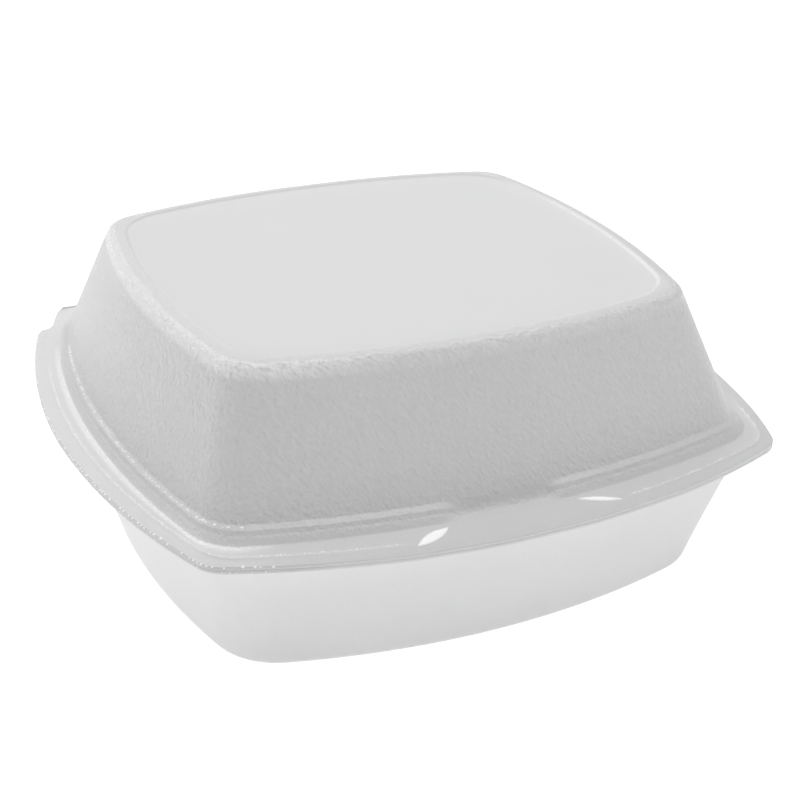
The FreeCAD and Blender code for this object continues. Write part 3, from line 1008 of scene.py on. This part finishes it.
@dataclass
class HingeFold:
    """The thin fold of foam that joins the tray's rim to the lid's across the back."""

    sheet: FormedSheet
    outer_radius: float = 0.72
    thickness: float = 0.42
    end_setback: float = 0.5
    steps: int = 60

    def build(self) -> bpy.types.Object:
        """Return the fold, a half-round strip along the hinge's axis."""
        axis_y, axis_z = self.sheet.axis
        turn = np.linspace(-np.pi / 2, np.pi / 2, 13)
        outer = [(-0.25, -self.outer_radius)]
        outer += [(self.outer_radius * math.cos(t), self.outer_radius * math.sin(t)) for t in turn]
        outer += [(-0.25, self.outer_radius)]
        inner_radius = self.outer_radius - self.thickness
        inner = [(-0.25, inner_radius)]
        inner += [(inner_radius * math.cos(t), inner_radius * math.sin(t)) for t in turn[::-1]]
        inner += [(-0.25, -inner_radius)]
        section = np.array(outer + inner)
        reach = float(side_reach(self.sheet.strip, np.array(axis_y))) - self.end_setback
        along = np.linspace(-reach, reach, self.steps + 1)
        chance = np.random.RandomState(8)
        points, faces = [], []
        for x in along:
            near_end = max(0.0, abs(x) - reach + 1.2) / 1.2
            press = 1 - 0.12 * near_end ** 2 + chance.uniform(-0.02, 0.02)
            points.extend((x, axis_y + y * (press if y > 0 else 1), axis_z + z) for y, z in section)
        count = len(section)
        for row in range(self.steps):
            faces.extend(band(row * count, (row + 1) * count, count))
        last = self.steps * count
        half = len(outer)
        for start, order in ((0, 1), (last, -1)):
            for i in range(half - 1):
                quad = (start + i, start + i + 1, start + count - 2 - i, start + count - 1 - i)
                faces.append(quad[::order])
        fold = meshed("hinge_fold", points, faces)
        if signed_volume(fold.data) < 0:
            fold.data.flip_normals()
        return fold


class Shade:
    """A shader socket that Python's operators act on by adding Math nodes."""

    def __init__(self, painter: "Painter", socket: bpy.types.NodeSocket) -> None:
        """Keep a socket and the painter whose tree it belongs to.

        Args:
            painter: The painter.
            socket: The socket.
        """
        self.painter = painter
        self.socket = socket

    def _math(self, operation: str, *values: "Shade | float") -> "Shade":
        """Return the result of one Math node.

        Args:
            operation: The node's operation.
            values: What it works on, in order.
        """
        return self.painter.node("ShaderNodeMath", {"operation": operation},
                                 dict(enumerate(values)))

    def __add__(self, other: "Shade | float") -> "Shade":
        """Add a value."""
        return self._math("ADD", self, other)

    __radd__ = __add__

    def __mul__(self, other: "Shade | float") -> "Shade":
        """Multiply by a value."""
        return self._math("MULTIPLY", self, other)

    __rmul__ = __mul__

    def __sub__(self, other: "Shade | float") -> "Shade":
        """Take a value away."""
        return self._math("SUBTRACT", self, other)

    def __rsub__(self, other: float) -> "Shade":
        """Take this away from a value."""
        return self._math("SUBTRACT", other, self)

    def clamped(self) -> "Shade":
        """Return the value kept from 0 to 1."""
        return self._math("MINIMUM", self._math("MAXIMUM", self, 0.0), 1.0)


class Painter:
    """Builds one material's node tree."""

    def __init__(self, name: str) -> None:
        """Start a material with an empty tree."""
        self.material = bpy.data.materials.new(name)
        self.material.use_nodes = True
        self.tree = self.material.node_tree
        self.tree.nodes.clear()

    def node(self, kind: str, settings: dict | None = None, inputs: dict | None = None,
             output: int | str = 0) -> Shade:
        """Add a node.

        Args:
            kind: The node's type.
            settings: Its properties, set first.
            inputs: Values or links by socket name or place.
            output: The socket to return.

        Returns:
            The chosen output.
        """
        made = self.tree.nodes.new(kind)
        for key, value in (settings or {}).items():
            setattr(made, key, value)
        for key, value in (inputs or {}).items():
            if isinstance(value, Shade):
                self.tree.links.new(value.socket, made.inputs[key])
            else:
                made.inputs[key].default_value = value
        return Shade(self, made.outputs[output] if len(made.outputs) else None)

    def place(self) -> Shade:
        """Return the Object coordinates."""
        return self.node("ShaderNodeTexCoord", output="Object")

    def mapped(self, grain: tuple[float, float, float],
               turn: tuple[float, float, float] = (0.0, 0.0, 0.0)) -> Shade:
        """Return Object coordinates measured in grains.

        Args:
            grain: The grain's size along x, y and z, in millimetres.
            turn: How the grain is turned, in degrees.
        """
        return self.node("ShaderNodeMapping", {"vector_type": "TEXTURE"},
                         {"Vector": self.place(),
                          "Rotation": tuple(math.radians(angle) for angle in turn),
                          "Scale": tuple(size * METRES for size in grain)})

    def noise(self, where: Shade, scale: float = 1.0, detail: float = 2.0,
              roughness: float = 0.5) -> Shade:
        """Return noise of about -1 to 1.

        Args:
            where: The coordinates.
            scale: How fine it is.
            detail: How many finer layers it has.
            roughness: How strong those layers are.
        """
        value = self.node("ShaderNodeTexNoise", {},
                          {"Vector": where, "Scale": scale, "Detail": detail,
                           "Roughness": roughness}, "Fac")
        return (value - 0.5) * 2.0

    def layer(self, name: str) -> Shade:
        """Return one of the mesh's own values.

        Args:
            name: The value's name.
        """
        return self.node("ShaderNodeAttribute", {"attribute_name": name}, output="Fac")

    def mix(self, share: Shade | float, low: tuple | Shade, high: tuple | Shade) -> Shade:
        """Return a mix of two colours.

        Args:
            share: How much of the second there is.
            low: The first colour.
            high: The second colour.
        """
        return self.node("ShaderNodeMix", {"data_type": "RGBA"},
                         {0: share, 6: low, 7: high}, 2)

    def bump(self, height: Shade) -> Shade:
        """Return the normal that a height gives.

        Args:
            height: The height in millimetres.
        """
        return self.node("ShaderNodeBump", {},
                         {"Height": height, "Distance": METRES, "Strength": 1.0})

    def finish(self, colour: Shade, roughness: Shade | float, normal: Shade,
               others: dict[str, object]) -> bpy.types.Material:
        """Close the tree with the surface shader.

        Args:
            colour: The base colour.
            roughness: The roughness.
            normal: The normal.
            others: Values of the shader's other sockets, by name.

        Returns:
            The finished material.
        """
        inputs = {"Base Color": colour, "Roughness": roughness, "Normal": normal}
        inputs.update(others)
        surface = self.node("ShaderNodeBsdfPrincipled", {}, inputs)
        self.node("ShaderNodeOutputMaterial", {}, {"Surface": surface})
        return self.material


@dataclass(frozen=True)
class FoamFinish:
    """White foam with a thin closed skin."""

    name: str
    colour: tuple[float, float, float, float] = (0.865, 0.865, 0.865, 1.0)
    shaded: tuple[float, float, float, float] = (0.815, 0.818, 0.818, 1.0)
    # Whiter colour of pressed foam, which also paints the highlights that the lamps lay on the
    # crown, the collar's foot and the crease.
    crushed: tuple[float, float, float, float] = (0.96, 0.96, 0.96, 1.0)
    cut: tuple[float, float, float, float] = (0.71, 0.712, 0.712, 1.0)
    pimple_size: float = 0.9
    pimple_height: float = 0.18
    streak_height: float = 0.08
    fine_height: float = 0.02
    roughness: float = 0.4
    highlight_glow: float = 0.11

    def material(self) -> bpy.types.Material:
        """Return the foam's material.

        The mesh's skin value says how strong the pimples are, its crush value says where the foam
        is pressed white and where a painted highlight with a faint painted glow is laid, and its
        edge value says where the sheet's cut edge shows.
        """
        paint = Painter(self.name)
        skin = paint.layer("skin")
        crush_and_highlight = paint.layer("crush_and_highlight")
        size = self.pimple_size
        slant = (-22.2, -31.5, 0.0)
        pimples = paint.noise(paint.mapped((size, size, size * 1.15), slant), 1.0, 1.0, 0.5)
        streaks = paint.noise(paint.mapped((0.45, 0.45, 1.5), slant), 1.0, 2.0, 0.6)
        fine = paint.noise(paint.mapped((0.35, 0.35, 0.35)), 1.0, 1.0)
        height = (pimples * self.pimple_height + streaks * self.streak_height) * skin
        height = height + fine * (self.fine_height * 0.6)
        normal = paint.bump(height)
        cloud = paint.noise(paint.mapped((26.0, 26.0, 26.0)), 1.0, 2.0)
        speck = paint.noise(paint.mapped((0.7, 0.7, 1.6), slant), 1.0, 2.0, 0.7)
        tone = (cloud * 0.35 + speck * 0.9 * (skin * 0.8 + 0.2) + 0.5).clamped()
        body = paint.mix(tone, self.shaded, self.colour)
        # Where crush is set, the colour turns whiter: partly pressed foam, partly a painted
        # highlight.
        ragged = (crush_and_highlight * (streaks * 1.9 + 0.85)).clamped()
        pressed = paint.mix(ragged, body, self.crushed)
        side = (paint.layer("edge") * (fine * 0.35 + 0.85)).clamped()
        colour = paint.mix(side, pressed, self.cut)
        rough = (speck * 0.08 + cloud * 0.02 + self.roughness - ragged * 0.2).clamped()
        # A faint painted glow on the same places, to brighten the painted highlights.
        glow = ragged * self.highlight_glow
        return paint.finish(colour, rough, normal, {"Specular IOR Level": 0.42,
                                                    "Emission Color": glow,
                                                    "Emission Strength": 1.0})


@dataclass(frozen=True)
class TornFinish:
    """Torn or crushed foam without its skin: whiter and matt, with open cells, and a painted glow
    when glow is above 0.
    """

    name: str
    colour: tuple[float, float, float, float] = (0.98, 0.98, 0.98, 1.0)
    hollow: tuple[float, float, float, float] = (0.93, 0.93, 0.93, 1.0)
    cell: float = 0.45
    glow: float = 0.0

    def material(self) -> bpy.types.Material:
        """Return the torn foam's material."""
        paint = Painter(self.name)
        cells = paint.noise(paint.mapped((self.cell,) * 3), 1.0, 2.0, 0.6)
        colour = paint.mix((cells * 0.5 + 0.75).clamped(), self.hollow, self.colour)
        normal = paint.bump(cells * 0.05)
        # The glow is painted light: an emission that brightens the finish without a lamp.
        constants = {"Specular IOR Level": 0.5, "Emission Color": (1.0, 1.0, 1.0, 1.0),
                     "Emission Strength": self.glow}
        return paint.finish(colour, (cells * 0.1 + 0.3).clamped(), normal, constants)


@dataclass
class NibLine:
    """Tiny crushed beads of foam along a line, scattered by Geometry Nodes, which with a glowing
    finish also serve as painted glints.
    """

    name: str
    spacing: float = 0.9
    size: float = 0.16
    stray: float = 0.1
    gaps: float = 0.35
    seed: int = 1

    def tree(self, material: bpy.types.Material) -> bpy.types.GeometryNodeTree:
        """Build the node tree, with its sizes as named inputs.

        Args:
            material: What the beads are made of.

        Returns:
            The node group.
        """
        tree = bpy.data.node_groups.new(f"{self.name}_nibs", "GeometryNodeTree")
        face = tree.interface
        face.new_socket("Geometry", in_out="INPUT", socket_type="NodeSocketGeometry")
        for label in ("Spacing", "Size", "Stray", "Gaps"):
            face.new_socket(label, in_out="INPUT", socket_type="NodeSocketFloat")
        face.new_socket("Seed", in_out="INPUT", socket_type="NodeSocketInt")
        face.new_socket("Geometry", in_out="OUTPUT", socket_type="NodeSocketGeometry")

        def add(kind: str, values: dict | None = None, **settings: object) -> bpy.types.Node:
            """Return a new node.

            Args:
                kind: The node's type.
                values: Values of its sockets, by name.
                settings: Its properties, set first.
            """
            made = tree.nodes.new(kind)
            for key, value in settings.items():
                setattr(made, key, value)
            for key, value in (values or {}).items():
                made.inputs[key].default_value = value
            return made

        given = add("NodeGroupInput")
        curve = add("GeometryNodeMeshToCurve")
        places = add("GeometryNodeResampleCurve", mode="LENGTH")
        shift = add("FunctionNodeRandomValue", {"Min": (-1.0, -1.0, -0.3), "Max": (1.0, 1.0, 0.3)},
                    data_type="FLOAT_VECTOR")
        scaled = add("ShaderNodeVectorMath", operation="SCALE")
        stray = add("GeometryNodeSetPosition")
        chance = add("FunctionNodeRandomValue", data_type="FLOAT")
        kept = add("FunctionNodeCompare", data_type="FLOAT", operation="GREATER_THAN")
        bead = add("GeometryNodeMeshIcoSphere", {"Subdivisions": 1})
        sizes = add("FunctionNodeRandomValue", {"Min": (0.45, 0.45, 0.35), "Max": (1.5, 1.5, 1.0)},
                    data_type="FLOAT_VECTOR")
        scatter = add("GeometryNodeInstanceOnPoints")
        real = add("GeometryNodeRealizeInstances")
        painted = add("GeometryNodeSetMaterial", {"Material": material})
        out = add("NodeGroupOutput")
        for source, output, target, socket in (
                (given, "Geometry", curve, "Mesh"), (curve, "Curve", places, "Curve"),
                (given, "Spacing", places, "Length"), (given, "Seed", shift, "Seed"),
                (shift, "Value", scaled, 0), (given, "Stray", scaled, "Scale"),
                (places, "Curve", stray, "Geometry"), (scaled, "Vector", stray, "Offset"),
                (given, "Seed", chance, "Seed"), (chance, 1, kept, 0), (given, "Gaps", kept, 1),
                (given, "Size", bead, "Radius"), (given, "Seed", sizes, "Seed"),
                (stray, "Geometry", scatter, "Points"), (kept, "Result", scatter, "Selection"),
                (bead, "Mesh", scatter, "Instance"), (sizes, "Value", scatter, "Scale"),
                (scatter, "Instances", real, "Geometry"), (real, "Geometry", painted, "Geometry"),
                (painted, "Geometry", out, "Geometry")):
            tree.links.new(source.outputs[output], target.inputs[socket])
        return tree

    def build(self, lines: Sequence[np.ndarray], material: bpy.types.Material) -> bpy.types.Object:
        """Scatter the beads along lines of points.

        Args:
            lines: Open lines, each as rows of x, y and z in millimetres.
            material: What the beads are made of.

        Returns:
            The beads, as one plain mesh.
        """
        points: list[list[float]] = []
        edges: list[tuple[int, int]] = []
        for line in lines:
            start = len(points)
            points.extend(line.tolist())
            edges.extend((start + i, start + i + 1) for i in range(len(line) - 1))
        nibs = meshed(self.name, points, edges=edges)
        tree = self.tree(material)
        modifier = nibs.modifiers.new("nibs", "NODES")
        modifier.node_group = tree
        values = {"Spacing": self.spacing * METRES, "Size": self.size * METRES,
                  "Stray": self.stray * METRES, "Gaps": self.gaps, "Seed": self.seed}
        for item in tree.interface.items_tree:
            if item.in_out == "INPUT" and item.name in values:
                modifier[item.identifier] = values[item.name]
        applied(nibs)
        if not nibs.data.materials:
            nibs.data.materials.append(material)
        return nibs


def kept_lines(ring: np.ndarray, keep: np.ndarray) -> list[np.ndarray]:
    """Split a ring into open lines where its points are kept.

    Args:
        ring: Rows of x, y and z, closed from last to first.
        keep: Whether each point is kept.

    Returns:
        The lines, each of two points or more.
    """
    if keep.all():
        return [np.concatenate([ring, ring[:1]])]
    start = int(np.argmin(keep))
    ring, keep = np.roll(ring, -start, axis=0), np.roll(keep, -start)
    lines, line = [], []
    for point, kept in zip(ring, keep):
        if kept:
            line.append(point)
        elif line:
            lines.append(line)
            line = []
    lines.append(line)
    return [np.array(found) for found in lines if len(found) > 1]


@dataclass(frozen=True)
class Studio:
    """The plain studio: camera, pale floor, soft lamps and an even surround."""

    azimuth: float = -25.1
    elevation: float = 26.2
    distance: float = 358.3
    roll: float = 1.1
    focal: float = 70.3
    aim: tuple[float, float, float] = (2.1, -5.4, 28.2)
    surround: float = 0.245
    floor_glow: float = 0.505
    floor_backdrop: float = 0.6

    def camera(self) -> None:
        """Set the camera at the photograph's viewing angle."""
        turn, lift = math.radians(self.azimuth), math.radians(self.elevation)
        back = Vector((math.sin(turn) * math.cos(lift), -math.cos(turn) * math.cos(lift),
                       math.sin(lift)))
        right = Vector((math.cos(turn), math.sin(turn), 0.0))
        up = back.cross(right)
        tilt = math.radians(self.roll)
        level = right * math.cos(tilt) + up * math.sin(tilt)
        upright = up * math.cos(tilt) - right * math.sin(tilt)
        data = bpy.data.cameras.new("camera")
        data.lens = self.focal
        data.sensor_width = 36.0
        data.clip_start = 0.01
        camera = placed("camera", data)
        place = (Vector(self.aim) + back * self.distance) * METRES
        turned = Matrix((level, upright, back)).transposed().to_4x4()
        camera.matrix_world = Matrix.Translation(place) @ turned
        bpy.context.scene.camera = camera

    def floor(self) -> bpy.types.Object:
        """Return the pale floor."""
        reach = 3000.0
        floor = meshed("floor", [(-reach, -reach, 0), (reach, -reach, 0), (reach, reach, 0),
                                 (-reach, reach, 0)], [(0, 1, 2, 3)])
        floor.location.z = -0.1 * METRES
        paint = Painter("pale_floor")
        seen = paint.node("ShaderNodeLightPath", output="Is Camera Ray")
        glossy = paint.node("ShaderNodeLightPath", output="Is Glossy Ray")
        matt = paint.node("ShaderNodeBsdfDiffuse", {}, {"Color": (0.86, 0.86, 0.86, 1.0)})
        light = (seen + glossy).clamped() * (self.floor_backdrop - self.floor_glow) + self.floor_glow
        glow = paint.node("ShaderNodeEmission", {}, {"Strength": light})
        both = paint.node("ShaderNodeAddShader", {}, {0: matt, 1: glow})
        paint.node("ShaderNodeOutputMaterial", {}, {"Surface": both})
        floor.data.materials.append(paint.material)
        return floor

    def world(self) -> None:
        """Set the even surround, white where the camera sees it."""
        world = bpy.data.worlds.new("surround")
        bpy.context.scene.world = world
        world.use_nodes = True
        tree = world.node_tree
        tree.nodes.clear()
        path = tree.nodes.new("ShaderNodeLightPath")
        even = tree.nodes.new("ShaderNodeBackground")
        even.inputs["Color"].default_value = (1.0, 1.0, 1.0, 1.0)
        even.inputs["Strength"].default_value = self.surround
        white = tree.nodes.new("ShaderNodeBackground")
        white.inputs["Strength"].default_value = 1.0
        mix = tree.nodes.new("ShaderNodeMixShader")
        out = tree.nodes.new("ShaderNodeOutputWorld")
        tree.links.new(path.outputs["Is Camera Ray"], mix.inputs[0])
        tree.links.new(even.outputs[0], mix.inputs[1])
        tree.links.new(white.outputs[0], mix.inputs[2])
        tree.links.new(mix.outputs[0], out.inputs["Surface"])

    def lamp(self, name: str, place: tuple[float, float, float], size: tuple[float, float],
             watts: float) -> None:
        """Hang a soft lamp that faces the container.

        Args:
            name: The lamp's name.
            place: Where it hangs, in metres.
            size: Its width and height, in metres.
            watts: Its power.
        """
        data = bpy.data.lights.new(name, "AREA")
        data.shape = "RECTANGLE"
        data.size, data.size_y = size
        data.energy = watts
        lamp = placed(name, data)
        lamp.location = place
        aim = Vector((0.0, 0.0, 0.03)) - Vector(place)
        lamp.rotation_mode = "QUATERNION"
        lamp.rotation_quaternion = aim.to_track_quat("-Z", "Y")

    def build(self) -> None:
        """Set up the whole studio."""
        self.camera()
        self.floor()
        self.world()
        for lamp in (("behind_left", (-0.3, 0.8, 0.62), (0.6, 0.5), 2.4),
                     ("behind_right", (0.35, 0.78, 0.62), (0.6, 0.5), 1.3),
                     ("overhead", (0.3, -0.05, 1.15), (0.8, 0.8), 5.7),
                     ("left", (-0.85, 0.35, 0.6), (0.6, 0.6), 1.25)):
            self.lamp(*lamp)


@dataclass
class Container:
    """The whole container: both shells, the lock's tongues, the hinge fold and the nibs."""

    sheet: FormedSheet = field(default_factory=FormedSheet)
    grid: RingGrid = field(default_factory=RingGrid)
    collar_nibs_end: float = -53.0
    edge_nibs_end: float = -52.0

    def hand_over(self, piece: bpy.types.Object, body: Body, slot: Slot,
                  nodes: Sequence[str] = ()) -> None:
        """Let a piece ride on its body and hide the part's nodes that it stands for.

        Args:
            piece: The piece.
            body: The body it rides on.
            slot: Not used.
            nodes: The part's nodes it stands for.
        """
        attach(piece, body.value)
        if nodes:
            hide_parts(*nodes)
        LOG.info("%s: %d faces on %s", piece.name, len(piece.data.polygons), body.value)

    def build(self) -> None:
        """Build and dress every piece in order."""
        sheet, grid = self.sheet, self.grid
        die = CuttingDie(sheet)
        waste, slots = die.back_waste(), die.slots()
        tray_foam = FoamFinish("tray_foam_skin", roughness=0.5, pimple_height=0.05).material()
        lid_foam = FoamFinish("lid_foam_skin").material()
        # Both torn finishes carry a painted glow: on the beads it brightens them as glints, and on
        # the lock's tongues it stands in for light passing through the thin foam.
        torn = TornFinish("torn_foam", glow=0.2).material()
        thin = TornFinish("thin_foam_painted_glow", glow=0.28).material()

        tray = TrayShell(sheet, grid).build()
        cut_away(tray, [waste])
        tray.data.materials.clear()
        tray.data.materials.append(tray_foam)
        smooth(tray, SHELL_CREASE)
        self.hand_over(tray, Body.TRAY, Slot.TRAY_FOAM, ["base_tray"])

        lid_maker = LidShell(sheet, grid)
        lid = lid_maker.build()
        cut_away(lid, [waste, *slots])
        lid.data.materials.clear()
        lid.data.materials.append(lid_foam)
        smooth(lid, SHELL_CREASE)
        self.hand_over(lid, Body.LID, Slot.LID_FOAM, ["hinged_lid"])
        for cutter in (waste, *slots):
            bpy.data.objects.remove(cutter)

        lugs = LockLugs(sheet, die).build()
        lugs.data.materials.append(thin)
        smooth(lugs, SMALL_CREASE)
        self.hand_over(lugs, Body.TRAY, Slot.TRAY_FOAM)

        fold = HingeFold(sheet).build()
        fold.data.materials.append(lid_foam)
        smooth(fold, SMALL_CREASE)
        axis_y, axis_z = sheet.axis
        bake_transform(fold)
        LOG.info("hinge_fold: %d faces between tray and lid", len(fold.data.polygons))

        self.nibs(lid_maker, torn)

    def nibs(self, lid: LidShell, torn: bpy.types.Material) -> None:
        """Scatter the crushed beads, which also serve as painted glints, along the creases and, on
        the left, the cut edges.

        Args:
            lid: Where the lid's lines run.
            torn: What the beads are made of, a finish with a painted glow.
        """
        sheet, ring = self.sheet, self.grid.ring
        crease = lid.crease_line(0.0) + np.array([0.0, 0.0, 0.24])
        shoulder = lid.wall_point(sheet.rim_top + sheet.collar_height - 0.25, lid.collar_shelf - 0.4)
        left = shoulder[:, 0] < self.collar_nibs_end
        stands = lid.collar_presence() > 0.5
        lines = kept_lines(rim_settled(crease), lid.crease_presence() > 0.6)
        crease_nibs = NibLine("crease_nibs", 0.75, 0.22, 0.14, 0.3, 3).build(lines, torn)
        self.hand_over(crease_nibs, Body.LID, Slot.LID_FOAM)
        lines = kept_lines(shoulder, stands & left)
        collar_nibs = NibLine("collar_nibs", 0.9, 0.3, 0.16, 0.35, 5).build(lines, torn)
        self.hand_over(collar_nibs, Body.LID, Slot.LID_FOAM)
        rim = ring(sheet.rim, 0.0)
        before_notch = (rim[:, 1] < sheet.notch_y - 2.0) & (rim[:, 0] < self.edge_nibs_end)
        edge = rim_settled(ring(sheet.rim.grown(-0.06), sheet.rim_edge_top - 0.05))
        lid_edge = NibLine("lid_edge_nibs", 1.1, 0.26, 0.14, 0.45, 7)
        self.hand_over(lid_edge.build(kept_lines(edge, before_notch), torn), Body.LID, Slot.LID_FOAM)
        edge = rim_settled(ring(sheet.rim.grown(-0.06), sheet.tray_rim_top - 0.3))
        tray_edge = NibLine("tray_edge_nibs", 1.3, 0.2, 0.12, 0.6, 9)
        self.hand_over(tray_edge.build(kept_lines(edge, before_notch), torn), Body.TRAY,
                       Slot.TRAY_FOAM)


def main() -> None:
    """Load the frame, build the container and the studio, and note the sizes."""
    logging.basicConfig(level=logging.INFO, format="%(name)s: %(message)s")
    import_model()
    Container().build()
    Studio().build()
    scene = bpy.context.scene
    scene.view_settings.view_transform = "Standard"


if __name__ == "__main__":
    main()
